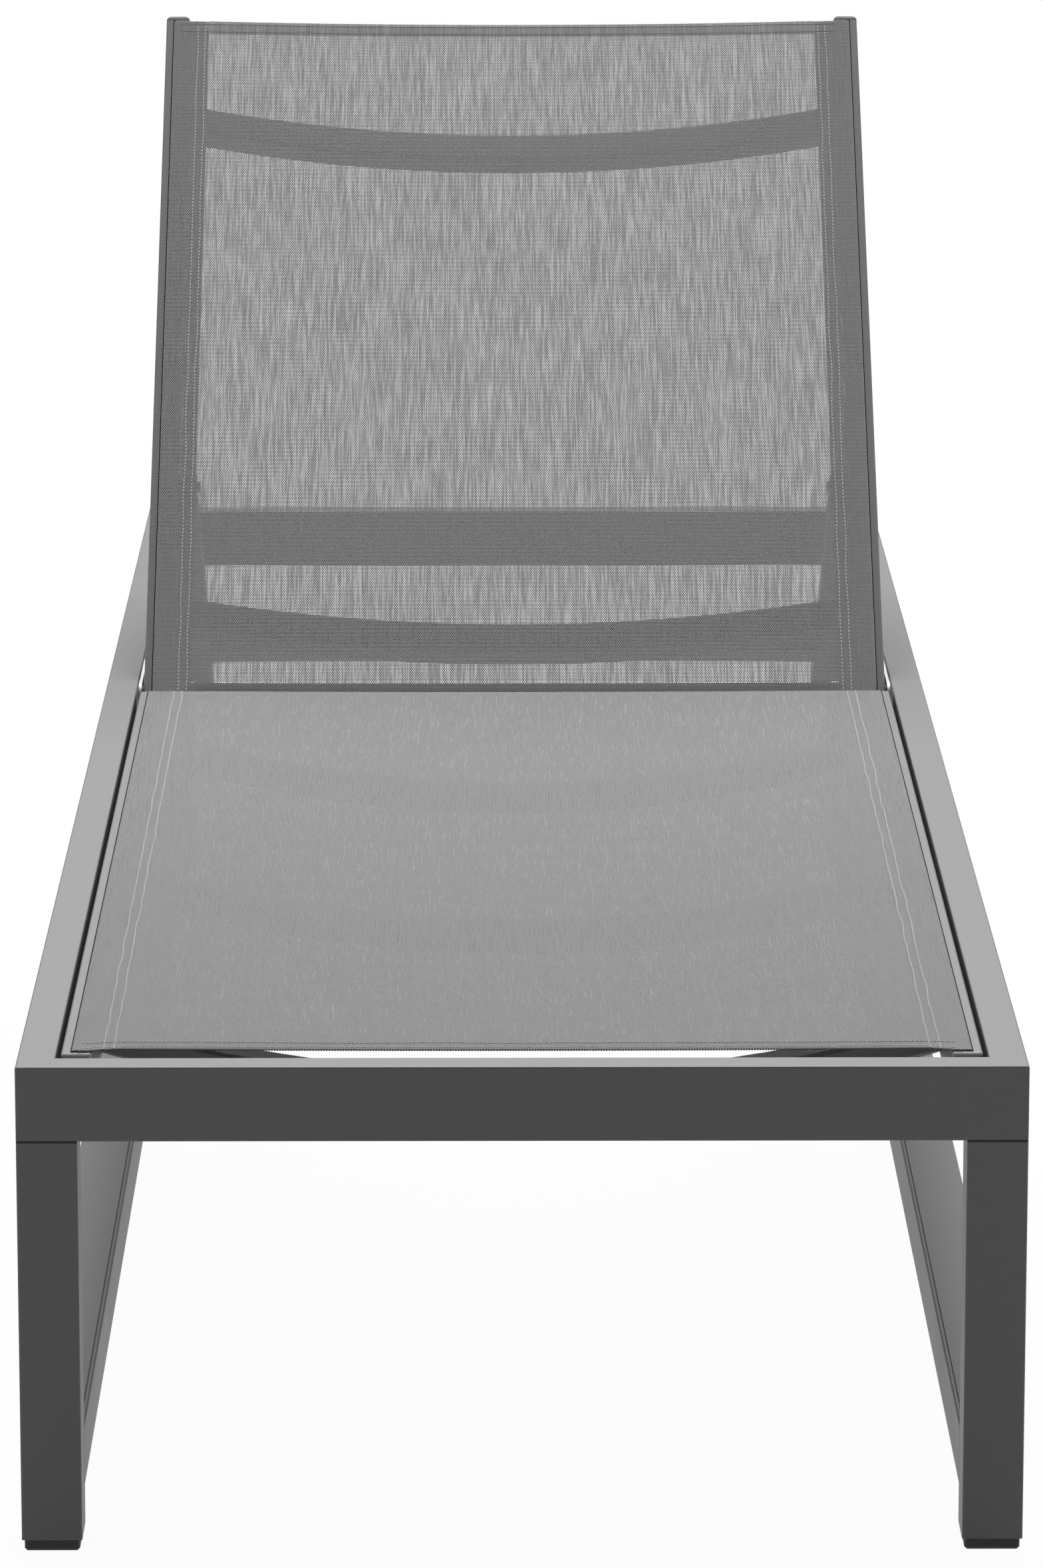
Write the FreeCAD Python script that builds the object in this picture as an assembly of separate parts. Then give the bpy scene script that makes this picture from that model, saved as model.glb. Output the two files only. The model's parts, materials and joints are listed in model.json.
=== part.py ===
"""Reclining sun lounger: an outer frame on four legs with two runners, a fixed seat section,
a hinged back section, and a prop that holds the back up on two notched racks.

Millimetres.  The foot end is at -Y, the head end at +Y, and Z is up.  The origin is on the
floor, under the middle of the outer frame.  The back section is drawn lying flat, level with
the seat, and is then turned about the hinge axis to the angle at which it rests.
"""
import FreeCAD
import Part
import math
import os

V = FreeCAD.Vector
X_AXIS = V(1, 0, 0)
Y_AXIS = V(0, 1, 0)
Z_AXIS = V(0, 0, 1)
ORIGIN = V(0, 0, 0)

# ---- outer frame -------------------------------------------------------------------------
FRAME_LENGTH = 2000.0
FRAME_WIDTH = 660.0
FRAME_TOP = 330.0
RAIL_WIDE = 25.0
RAIL_HIGH = 50.0
RAIL_WALL = 2.0
RAIL_EDGE = 1.2

# ---- legs, feet and runners --------------------------------------------------------------
LEG_SIDE = 40.0
LEG_WALL = 2.0
LEG_EDGE = 1.5
LEG_BOTTOM = 8.0
FOOT_INSET = 1.7
FOOT_CHAMFER = 1.6
FOOT_EDGE = 2.5
FOOT_PLUG = 18.0
PLUG_CLEAR = 0.2
TOP_PLUG_FLANGE = 1.2
TOP_PLUG_DEPTH = 14.0
LEG_BOLT_R = 4.0
LEG_BOLT_HEAD_R = 6.5
LEG_BOLT_HEAD = 8.0
LEG_BOLT_REACH = 10.0
LEG_BOLT_CLEAR = 1.5
RUNNER_BOTTOM = 33.0
RUNNER_GROOVE = 1.2
RUNNER_GROOVE_INSET = 2.5
RUNNER_GROOVE_STOP = 12.0

# ---- rails that hold the fabric ----------------------------------------------------------
SLING_RAIL_WIDE = 20.0
SLING_RAIL_DEEP = 36.0
SLING_RAIL_WALL = 2.0
SLING_RAIL_EDGE = 1.5
LIP = 6.0
SLOT_WIDE = 2.4
SPLINE_HOLE_R = 3.6
SPLINE_HOLE_DEPTH = 6.0
SPLINE_R = 3.2
CHAMBER_DEPTH = 13.0

SEAT_GAP = 3.0
SEAT_FOOT_SET_BACK = 34.0
SEAT_LENGTH = 1149.0
BACK_GAP = 4.5
BACK_LENGTH = 744.0

END_CAP_DOME = 4.5
END_CAP_ROUND = END_CAP_DOME - 0.5
TOP_CAP_DOME = 9.0
TOP_CAP_ROUND = 8.5
FLAT_CAP = 1.6
CAP_PLUG = 12.0

# ---- fabric ------------------------------------------------------------------------------
FABRIC_THICK = 1.2
FABRIC_CLEAR = 0.3
SEAT_HEM_SET_BACK = 11.0
HEM_SET_BACK = 4.0

# ---- bowed spreaders ---------------------------------------------------------------------
SPREADER_WIDE = 30.0
SPREADER_DEEP = 20.0
SPREADER_WALL = 2.0
SPREADER_EDGE = 3.2
SPREADER_PLUG = 18.0
SPREADER_DEPTH = 25.0
SEAT_SAG = 41.0
BACK_SAG = 38.0
SEAT_SPREADER_AT = {"front": 151.0, "middle": 590.0, "rear": 1050.0}
BACK_SPREADER_AT = {"lower": 102.0, "upper": 644.0}

# ---- fasteners ---------------------------------------------------------------------------
SCREW_R = 3.0
SCREW_CLEAR = 0.2
SCREW_HEAD_R = 4.8
SCREW_HEAD = 1.8
SPREADER_SCREW_REACH = 14.0
SEAT_BOLT_AT = (60.0, 380.0, 770.0, 1115.0)
BOLT_HEAD_R = 6.0
BOLT_HEAD = 3.0
SPACER_R = 8.0
NUT_R = 5.5
NUT_LONG = 9.0

# ---- hinge between the frame and the back ------------------------------------------------
HINGE_FROM_SEAT = 44.0
HINGE_DEPTH = 15.0
BACK_START = 9.0
BACK_ANGLE = 40.3
PIN_R = 4.0
PIN_CLEAR = 0.1
PIN_HEAD_R = 7.0
PIN_HEAD = 3.5
PIN_NUT = 4.0
PIN_NUT_R = 6.5
BRACKET_THICK = 2.5
BRACKET_R = 12.5
BRACKET_LONG = 96.0
BRACKET_SCREWS_AT = (38.0, 80.0)
BRACKET_SCREW_R = 2.5
BRACKET_SCREW_HEAD_R = 4.2
BRACKET_SCREW_HEAD = 1.6
BRACKET_SCREW_LONG = 9.0
HINGE_WASHER_R = 10.0
HINGE_WASHER_CLEAR = 0.2

# ---- prop that holds the back up ---------------------------------------------------------
PIVOT_AT = 228.0
PIVOT_DEPTH = 24.0
PROP_LENGTH = 398.0
PROP_ANGLE = 36.5
PROP_RATIO = 1.6
ARM_WIDE = 16.0
ARM_DEEP = 22.0
ARM_WALL = 2.0
WASHER_THICK = 1.2
WASHER_R = 9.0
PIVOT_R = 4.0
PIVOT_CLEAR = 0.1
PIVOT_HEAD_R = 6.5
PIVOT_HEAD = 1.9
PIVOT_NUT_R = 6.5
PIVOT_NUT = 3.0
CROSSBAR_FROM_FOOT = 80.0
CROSSBAR_WIDE = 25.0
CROSSBAR_THICK = 14.0
ROD_R = 5.0
SLEEVE_R = 7.0
SLEEVE_LONG = 7.0

# ---- notched racks -----------------------------------------------------------------------
NOTCHES = 6
REST_NOTCH = 3
RACK_THICK = 5.0
RACK_DEEP = 24.0
RACK_CLEAR = 0.6
NOTCH_DEEP = 2.4
RACK_END = 38.0
HANGER_THICK = 3.0
HANGER_WIDE = 26.0
HANGER_SHORT = 1.0
HANGER_TOP_GAP = 6.0
HANGER_SCREW_UP = 8.0
RIVET_R = 3.0
RIVET_HEAD_R = 4.5
RIVET_HEAD = 1.5

# ---- places that follow from the sizes ---------------------------------------------------
HALF_W = FRAME_WIDTH / 2
HALF_L = FRAME_LENGTH / 2
SIDE_INNER = HALF_W - RAIL_WIDE
RAIL_BOTTOM = FRAME_TOP - RAIL_HIGH
RUNNER_TOP = RUNNER_BOTTOM + LEG_SIDE
SEAT_OUTER = SIDE_INNER - SEAT_GAP
SEAT_INNER = SEAT_OUTER - SLING_RAIL_WIDE
BACK_OUTER = SIDE_INNER - BACK_GAP
BACK_INNER = BACK_OUTER - SLING_RAIL_WIDE
SEAT_Y0 = -HALF_L + SEAT_FOOT_SET_BACK
SEAT_Y1 = SEAT_Y0 + SEAT_LENGTH
HINGE_Y = SEAT_Y1 + HINGE_FROM_SEAT
HINGE_Z = FRAME_TOP - HINGE_DEPTH
HINGE = V(0, HINGE_Y, HINGE_Z)
BACK_Y0 = HINGE_Y - BACK_START
ARM_OUTER = BACK_INNER - WASHER_THICK
ARM_INNER = ARM_OUTER - ARM_WIDE
HANGER_INNER = SIDE_INNER - HANGER_THICK
RACK_INNER = HANGER_INNER - RACK_THICK

SIDES = {"left": -1, "right": 1}
TINY = 0.001
MITRE_OVERRUN = 1.0
parts = {}


# ---- helpers -----------------------------------------------------------------------------
def block(x0, x1, y0, y1, z0, z1):
    """A box between two corners, given in any order."""
    low = V(min(x0, x1), min(y0, y1), min(z0, z1))
    return Part.makeBox(abs(x1 - x0), abs(y1 - y0), abs(z1 - z0), low)


def rod_x(radius, x0, x1, y, z):
    """A round bar along X from x0 to x1."""
    return Part.makeCylinder(radius, abs(x1 - x0), V(min(x0, x1), y, z), X_AXIS)


def rod_y(radius, y0, y1, x, z):
    """A round bar along Y from y0 to y1."""
    return Part.makeCylinder(radius, y1 - y0, V(x, y0, z), Y_AXIS)


def rod_z(radius, z0, z1, x, y):
    """A round bar along Z from z0 to z1."""
    return Part.makeCylinder(radius, z1 - z0, V(x, y, z0), Z_AXIS)


def round_edges(shape, radius, along):
    """Round the straight edges of a shape that run along the given direction."""
    edges = [e for e in shape.Edges
             if isinstance(e.Curve, Part.Line) and abs(e.Curve.Direction.dot(along)) > 0.999]
    return shape.makeFillet(radius, edges)


def mirrored(shape):
    """The same piece on the other side of the lounger."""
    return shape.mirror(ORIGIN, X_AXIS)


def on_side(shape, sign):
    """A piece drawn on the right, kept there or mirrored to the left."""
    return shape if sign > 0 else mirrored(shape)


def both_sides(shapes):
    """Pieces drawn on the right, and the same pieces on the left."""
    return [on_side(s, sign) for s in shapes for sign in SIDES.values()]


def tilt(shape):
    """Turn a piece of the flat back section about the hinge axis to its rest angle."""
    return shape.rotated(HINGE, X_AXIS, BACK_ANGLE)


def group(shapes):
    return Part.makeCompound(shapes)


# ---- outer frame -------------------------------------------------------------------------
def mitre_wedge(x0, y0, x1, y1):
    """The space between a rail's outer face and the two 45 degree planes at its ends."""
    reach = RAIL_WIDE + MITRE_OVERRUN
    along = V(x1 - x0, y1 - y0, 0).normalize()
    inward = V(-along.y, along.x, 0)
    a = V(x0, y0, RAIL_BOTTOM)
    b = V(x1, y1, RAIL_BOTTOM)
    corners = [a, b, b + (inward - along) * reach, a + (inward + along) * reach, a]
    face = Part.Face(Part.makePolygon(corners))
    return face.extrude(V(0, 0, RAIL_HIGH))


def outer_frame():
    """Four mitred lengths of hollow rail."""
    ring = block(-HALF_W, HALF_W, -HALF_L, HALF_L, RAIL_BOTTOM, FRAME_TOP)
    ring = round_edges(ring, RAIL_EDGE, Z_AXIS)
    ring = ring.cut(block(-SIDE_INNER, SIDE_INNER, -HALF_L + RAIL_WIDE, HALF_L - RAIL_WIDE,
                          RAIL_BOTTOM, FRAME_TOP))
    flat = [e for e in ring.Edges if abs(e.tangentAt(e.FirstParameter).z) < TINY]
    ring = ring.makeFillet(RAIL_EDGE, flat)
    w = RAIL_WALL
    hollow = block(-HALF_W + w, HALF_W - w, -HALF_L + w, HALF_L - w,
                   RAIL_BOTTOM + w, FRAME_TOP - w)
    hollow = hollow.cut(block(-SIDE_INNER - w, SIDE_INNER + w, -HALF_L + RAIL_WIDE - w,
                              HALF_L - RAIL_WIDE + w, RAIL_BOTTOM, FRAME_TOP))
    ring = ring.cut(hollow)
    corners = {
        "front_rail": (-HALF_W, -HALF_L, HALF_W, -HALF_L),
        "side_rail_right": (HALF_W, -HALF_L, HALF_W, HALF_L),
        "rear_rail": (HALF_W, HALF_L, -HALF_W, HALF_L),
        "side_rail_left": (-HALF_W, HALF_L, -HALF_W, -HALF_L),
    }
    for name, ends in corners.items():
        parts[name] = ring.common(mitre_wedge(*ends))


def leg_places():
    """Name, side and the Y of the outer face and of the inner face of each leg."""
    for end, y_outer, inward in (("front", -HALF_L, 1), ("rear", HALF_L, -1)):
        for side, sign in SIDES.items():
            yield end, side, sign, y_outer, inward


def leg_bolt_place(sign, y_outer, inward):
    """The leg's bolt stands under the middle of the side rail, clear of the mitre."""
    x = sign * (HALF_W - RAIL_WIDE / 2)
    y = y_outer + inward * (LEG_SIDE - LEG_WALL - LEG_BOLT_HEAD_R - LEG_BOLT_CLEAR)
    return x, y


def legs():
    """Hollow legs with a plug and a bolt at the top and a cap at the foot."""
    plugs = []
    bolts = []
    leg_top = RAIL_BOTTOM - TOP_PLUG_FLANGE
    w = LEG_WALL
    for end, side, sign, y_outer, inward in leg_places():
        x0 = sign * HALF_W
        x1 = sign * (HALF_W - LEG_SIDE)
        y0 = y_outer
        y1 = y_outer + inward * LEG_SIDE
        leg = round_edges(block(x0, x1, y0, y1, LEG_BOTTOM, leg_top), LEG_EDGE, Z_AXIS)
        hole = (x0 - sign * w, x1 + sign * w, y0 + inward * w, y1 - inward * w)
        parts[f"{end}_leg_{side}"] = leg.cut(block(*hole, LEG_BOTTOM, leg_top))

        bx, by = leg_bolt_place(sign, y_outer, inward)
        c = PLUG_CLEAR
        body = (x0 - sign * (w + c), x1 + sign * (w + c), y0 + inward * (w + c),
                y1 - inward * (w + c))
        flange = round_edges(block(x0, x1, y0, y1, leg_top, RAIL_BOTTOM), LEG_EDGE, Z_AXIS)
        plug = flange.fuse(block(*body, leg_top - TOP_PLUG_DEPTH, leg_top))
        plug = plug.cut(rod_z(LEG_BOLT_R, leg_top - TOP_PLUG_DEPTH, RAIL_BOTTOM, bx, by))
        plugs.append(plug.removeSplitter())

        head_top = leg_top - TOP_PLUG_DEPTH
        bolt = rod_z(LEG_BOLT_R, head_top, RAIL_BOTTOM + LEG_BOLT_REACH, bx, by)
        head = rod_z(LEG_BOLT_HEAD_R, head_top - LEG_BOLT_HEAD, head_top, bx, by)
        bolts.append(bolt.fuse(head).removeSplitter())
        rail = f"side_rail_{side}"
        parts[rail] = parts[rail].cut(
            rod_z(LEG_BOLT_R, RAIL_BOTTOM, RAIL_BOTTOM + RAIL_WALL, bx, by))

        i = FOOT_INSET
        pad = block(x0 - sign * i, x1 + sign * i, y0 + inward * i, y1 - inward * i,
                    0, LEG_BOTTOM)
        pad = round_edges(pad, FOOT_EDGE, Z_AXIS)
        under = [e for e in pad.Edges if e.CenterOfMass.z < TINY]
        pad = pad.makeChamfer(FOOT_CHAMFER, under)
        plug_in = block(*body, LEG_BOTTOM, LEG_BOTTOM + FOOT_PLUG)
        parts[f"foot_cap_{end}_{side}"] = pad.fuse(plug_in).removeSplitter()
    parts["leg_top_plugs"] = group(plugs)
    parts["leg_bolts"] = group(bolts)


def runners():
    """A low hollow rail on each side between the front leg and the rear leg."""
    x0 = HALF_W - LEG_SIDE
    y = HALF_L - LEG_SIDE
    rail = block(x0, HALF_W, -y, y, RUNNER_BOTTOM, RUNNER_TOP)
    rail = round_edges(rail, LEG_EDGE, Y_AXIS)
    rail = rail.cut(block(x0 + LEG_WALL, HALF_W - LEG_WALL, -y, y,
                          RUNNER_BOTTOM + LEG_WALL, RUNNER_TOP - LEG_WALL))
    groove_x = x0 + RUNNER_GROOVE_INSET
    groove_y = y - RUNNER_GROOVE_STOP
    rail = rail.cut(block(groove_x, groove_x + RUNNER_GROOVE, -groove_y, groove_y,
                          RUNNER_TOP - RUNNER_GROOVE, RUNNER_TOP))
    for side, sign in SIDES.items():
        parts[f"base_rail_{side}"] = on_side(rail, sign)


# ---- rails, caps, splines and fabric -----------------------------------------------------
def sling_rail(outer, y0, y1):
    """A right-hand extrusion with a slot in its top for the fabric's spline."""
    inner = outer - SLING_RAIL_WIDE
    top = FRAME_TOP
    w = SLING_RAIL_WALL
    rail = round_edges(block(inner, outer, y0, y1, top - SLING_RAIL_DEEP, top),
                       SLING_RAIL_EDGE, Y_AXIS)
    slot_x = outer - LIP - SLOT_WIDE
    rail = rail.cut(block(slot_x, slot_x + SLOT_WIDE, y0, y1, top - SPLINE_HOLE_DEPTH, top))
    rail = rail.cut(rod_y(SPLINE_HOLE_R, y0, y1, *spline_place(outer)))
    chamber = block(inner + w, outer - w, y0, y1, top - SLING_RAIL_DEEP + w,
                    top - CHAMBER_DEPTH)
    return rail.cut(chamber)


def spline_place(outer):
    """The X and Z of a spline, under the middle of its slot."""
    return outer - LIP - SLOT_WIDE / 2, FRAME_TOP - SPLINE_HOLE_DEPTH


def spline(outer, y0, y1):
    return rod_y(SPLINE_R, y0, y1, *spline_place(outer))


def end_cap(outer, y_rail, outward, thick, dome):
    """A cap on a rail's end, domed on its outer face or flat, with a plug in the chamber."""
    inner = outer - SLING_RAIL_WIDE
    y_face = y_rail + outward * thick
    cap = block(inner, outer, y_rail, y_face, FRAME_TOP - SLING_RAIL_DEEP, FRAME_TOP)
    cap = round_edges(cap, SLING_RAIL_EDGE, Y_AXIS)
    rim = [e for e in cap.Edges if abs(e.CenterOfMass.y - y_face) < TINY]
    if dome:
        cap = cap.makeFillet(dome, rim)
    w = SLING_RAIL_WALL + PLUG_CLEAR
    plug = block(inner + w, outer - w, y_rail, y_rail - outward * CAP_PLUG,
                 FRAME_TOP - SLING_RAIL_DEEP + w, FRAME_TOP - CHAMBER_DEPTH - PLUG_CLEAR)
    return cap.fuse(plug).removeSplitter()


def fabric(outer, y0, y1):
    """The stretched fabric between the slots of two rails, as one flat sheet."""
    half = outer - LIP - SLOT_WIDE / 2
    z = FRAME_TOP + FABRIC_CLEAR
    return block(-half, half, y0, y1, z, z + FABRIC_THICK)


def bowed_bar(radius, depth, wide, half_span, bottom, y):
    """A solid bar along a shallow arc in the XZ plane, lowest in its middle."""
    centre_z = bottom + radius

    def arc(r):
        end_z = centre_z - math.sqrt(r ** 2 - half_span ** 2)
        start = V(-half_span, y - wide / 2, end_z)
        middle = V(0, y - wide / 2, centre_z - r)
        end = V(half_span, y - wide / 2, end_z)
        return Part.Arc(start, middle, end).toShape(), start, end

    under, under_left, under_right = arc(radius + depth / 2)
    over, over_left, over_right = arc(radius - depth / 2)
    left = Part.makeLine(under_left, over_left)
    right = Part.makeLine(over_right, under_right)
    wire = Part.Wire(Part.__sortEdges__([under, right, over, left]))
    return Part.Face(wire).extrude(V(0, wide, 0))


def spreader(half_span, y, sag):
    """A hollow bar bowed downwards between the inner faces of two rails."""
    radius = (half_span ** 2 + sag ** 2) / (2 * sag)
    z_end = FRAME_TOP - SPREADER_DEPTH
    w = SPREADER_WALL
    bar = bowed_bar(radius, SPREADER_DEEP, SPREADER_WIDE, half_span + SPREADER_DEEP,
                    z_end - sag, y)
    bar = bar.makeFillet(SPREADER_EDGE, [e for e in bar.Edges if isinstance(e.Curve, Part.Circle)])
    bar = bar.common(block(-half_span, half_span, y - SPREADER_WIDE, y + SPREADER_WIDE,
                           z_end - 2 * sag, z_end + 2 * sag))
    bar = bar.cut(bowed_bar(radius, SPREADER_DEEP - 2 * w, SPREADER_WIDE - 2 * w,
                            half_span - SPREADER_PLUG, z_end - sag, y))
    hole = rod_x(SCREW_R, half_span - SPREADER_SCREW_REACH, half_span, y, z_end)
    return bar.cut(hole).cut(mirrored(hole))


def flush_bolt(radius, head_r, head, tip, face, y, z):
    """A bolt along X whose countersunk head lies flush with a face, its tip nearer the middle."""
    cone = Part.makeCone(radius, head_r, head, V(face - head, y, z), X_AXIS)
    return rod_x(radius, tip, face - head, y, z).fuse(cone).removeSplitter()


def spreader_screw(outer, y):
    """A screw through the right-hand rail into the end of a spreader."""
    tip = outer - SLING_RAIL_WIDE - SPREADER_SCREW_REACH
    return flush_bolt(SCREW_R, SCREW_HEAD_R, SCREW_HEAD, tip, outer, y,
                      FRAME_TOP - SPREADER_DEPTH)


def seat_section():
    """The seat's rails, caps, spreaders and fabric, and what fixes them to the frame."""
    y0 = SEAT_Y0 + END_CAP_DOME
    y1 = SEAT_Y1 - FLAT_CAP
    spreader_ys = {name: SEAT_Y0 + at for name, at in SEAT_SPREADER_AT.items()}
    bolt_ys = [SEAT_Y0 + at for at in SEAT_BOLT_AT]
    hole_r = SCREW_R + SCREW_CLEAR
    z = FRAME_TOP - SPREADER_DEPTH
    screws = [spreader_screw(SEAT_OUTER, y) for y in spreader_ys.values()]
    rail = sling_rail(SEAT_OUTER, y0, y1)
    for screw in screws:
        rail = rail.cut(screw)
    for y in bolt_ys:
        rail = rail.cut(rod_x(hole_r, SEAT_INNER, SEAT_OUTER, y, z))
    for side, sign in SIDES.items():
        parts[f"seat_rail_{side}"] = on_side(rail, sign)
    for name, y in spreader_ys.items():
        parts[f"seat_spreader_{name}"] = spreader(SEAT_INNER, y, SEAT_SAG)
    parts["seat_spreader_screws"] = group(both_sides(screws))
    parts["seat_foot_caps"] = group(both_sides(
        [end_cap(SEAT_OUTER, y0, -1, END_CAP_DOME, END_CAP_ROUND)]))
    parts["seat_head_caps"] = group(both_sides([end_cap(SEAT_OUTER, y1, 1, FLAT_CAP, 0)]))
    parts["seat_splines"] = group(both_sides([spline(SEAT_OUTER, y0, y1)]))
    parts["seat_sling"] = fabric(SEAT_OUTER, SEAT_Y0 + SEAT_HEM_SET_BACK,
                                 SEAT_Y1 - HEM_SET_BACK)

    spacers = []
    bolts = []
    nuts = []
    wall = SIDE_INNER + RAIL_WALL
    for y in bolt_ys:
        spacer = rod_x(SPACER_R, SEAT_OUTER, SIDE_INNER, y, z)
        spacers.append(spacer.cut(rod_x(hole_r, SEAT_OUTER, SIDE_INNER, y, z)))
        shank = rod_x(SCREW_R, SEAT_INNER, wall + NUT_LONG, y, z)
        head = rod_x(BOLT_HEAD_R, SEAT_INNER - BOLT_HEAD, SEAT_INNER, y, z)
        bolts.append(shank.fuse(head).removeSplitter())
        nut = rod_x(NUT_R, wall, wall + NUT_LONG, y, z)
        nuts.append(nut.cut(rod_x(SCREW_R, wall, wall + NUT_LONG, y, z)))
        hole = rod_x(hole_r, SIDE_INNER, wall, y, z)
        for side, sign in SIDES.items():
            name = f"side_rail_{side}"
            parts[name] = parts[name].cut(on_side(hole, sign))
    parts["seat_rail_spacers"] = group(both_sides(spacers))
    parts["seat_rail_bolts"] = group(both_sides(bolts))
    parts["seat_rail_nuts"] = group(both_sides(nuts))


# ---- back section and its hinge ----------------------------------------------------------
def bracket():
    """The flat plate on the inside of a side rail that backs up the hinge pin."""
    x0 = SIDE_INNER - BRACKET_THICK
    end_y = HINGE_Y + BRACKET_LONG
    plate = block(x0, SIDE_INNER, HINGE_Y, end_y, HINGE_Z - BRACKET_R, HINGE_Z + BRACKET_R)
    for y in (HINGE_Y, end_y):
        plate = plate.fuse(rod_x(BRACKET_R, x0, SIDE_INNER, y, HINGE_Z))
    return plate.removeSplitter()


def hinge():
    """A pin through each side rail, bracket and back rail, with a washer and a nut."""
    face = SIDE_INNER - BRACKET_THICK
    pin = flush_bolt(PIN_R, PIN_HEAD_R, PIN_HEAD, BACK_INNER - PIN_NUT, HALF_W, HINGE_Y, HINGE_Z)
    washer = rod_x(HINGE_WASHER_R, BACK_OUTER + HINGE_WASHER_CLEAR, face, HINGE_Y, HINGE_Z)
    nut = rod_x(PIN_NUT_R, BACK_INNER - PIN_NUT, BACK_INNER - PIN_CLEAR, HINGE_Y, HINGE_Z)
    plate = bracket().cut(pin)
    screws = []
    for at in BRACKET_SCREWS_AT:
        y = HINGE_Y + at
        shank = rod_x(BRACKET_SCREW_R, face, face + BRACKET_SCREW_LONG, y, HINGE_Z)
        head = rod_x(BRACKET_SCREW_HEAD_R, face - BRACKET_SCREW_HEAD, face, y, HINGE_Z)
        plate = plate.cut(shank)
        screws.append(shank.fuse(head).removeSplitter())
    for side, sign in SIDES.items():
        parts[f"hinge_bracket_{side}"] = on_side(plate, sign)
        name = f"side_rail_{side}"
        for tool in [pin] + screws:
            parts[name] = parts[name].cut(on_side(tool, sign))
    parts["hinge_pins"] = group(both_sides([pin]))
    parts["hinge_washers"] = group(both_sides([washer.cut(pin)]))
    parts["hinge_nuts"] = group(both_sides([nut.cut(pin)]))
    parts["hinge_bracket_screws"] = group(both_sides(screws))


def back_section():
    """The back's rails, caps, spreaders and fabric."""
    y0 = BACK_Y0 + FLAT_CAP
    y1 = BACK_Y0 + BACK_LENGTH
    spreader_ys = {name: BACK_Y0 + at for name, at in BACK_SPREADER_AT.items()}
    pin_hole = rod_x(PIN_R + PIN_CLEAR, BACK_INNER, BACK_OUTER, HINGE_Y, HINGE_Z)
    screws = [spreader_screw(BACK_OUTER, y) for y in spreader_ys.values()]
    rail = sling_rail(BACK_OUTER, y0, y1).cut(pin_hole).cut(pivot_bolt())
    for screw in screws:
        rail = rail.cut(screw)
    top_cap = end_cap(BACK_OUTER, y1, 1, TOP_CAP_DOME, TOP_CAP_ROUND)
    bottom_cap = end_cap(BACK_OUTER, y0, -1, FLAT_CAP, 0).cut(pin_hole)
    for side, sign in SIDES.items():
        parts[f"back_rail_{side}"] = tilt(on_side(rail, sign))
        parts[f"back_top_cap_{side}"] = tilt(on_side(top_cap, sign))
    for name, y in spreader_ys.items():
        parts[f"back_spreader_{name}"] = tilt(spreader(BACK_INNER, y, BACK_SAG))
    parts["back_spreader_screws"] = group([tilt(s) for s in both_sides(screws)])
    parts["back_bottom_caps"] = group([tilt(s) for s in both_sides([bottom_cap])])
    parts["back_splines"] = group([tilt(s) for s in both_sides([spline(BACK_OUTER, y0, y1)])])
    parts["back_sling"] = tilt(fabric(BACK_OUTER, BACK_Y0 + HEM_SET_BACK, y1 - HEM_SET_BACK))


# ---- prop --------------------------------------------------------------------------------
def pivot_point(angle):
    """The prop's pivot when the back stands at the given angle above level."""
    a = math.radians(angle)
    below = PIVOT_DEPTH - HINGE_DEPTH
    return V(0, HINGE_Y + PIVOT_AT * math.cos(a) + below * math.sin(a),
             HINGE_Z + PIVOT_AT * math.sin(a) - below * math.cos(a))


def foot_point(angle):
    """The middle of the prop's foot rod when the back stands at the given angle."""
    drop = PROP_ANGLE + (PROP_RATIO - 1) * (angle - BACK_ANGLE)
    d = math.radians(drop)
    return pivot_point(angle) + V(0, math.cos(d), -math.sin(d)) * PROP_LENGTH


def place_prop(shape):
    """Move a piece drawn level, from the pivot at the origin, to its place at rest."""
    turned = shape.rotated(ORIGIN, X_AXIS, -PROP_ANGLE)
    return turned.translated(pivot_point(BACK_ANGLE))


def arm():
    """A right-hand hollow arm with round ends, bored for the pivot and the foot rod."""
    half = ARM_DEEP / 2
    w = ARM_WALL
    bar = block(ARM_INNER, ARM_OUTER, 0, PROP_LENGTH, -half, half)
    for y in (0, PROP_LENGTH):
        bar = bar.fuse(rod_x(half, ARM_INNER, ARM_OUTER, y, 0))
    bar = bar.removeSplitter()
    bar = bar.cut(block(ARM_INNER + w, ARM_OUTER - w, half, PROP_LENGTH - half,
                        -half + w, half - w))
    bar = bar.cut(rod_x(PIVOT_R + PIVOT_CLEAR, ARM_INNER, ARM_OUTER, 0, 0))
    return bar.cut(rod_x(ROD_R, ARM_INNER, ARM_OUTER, PROP_LENGTH, 0))


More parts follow.
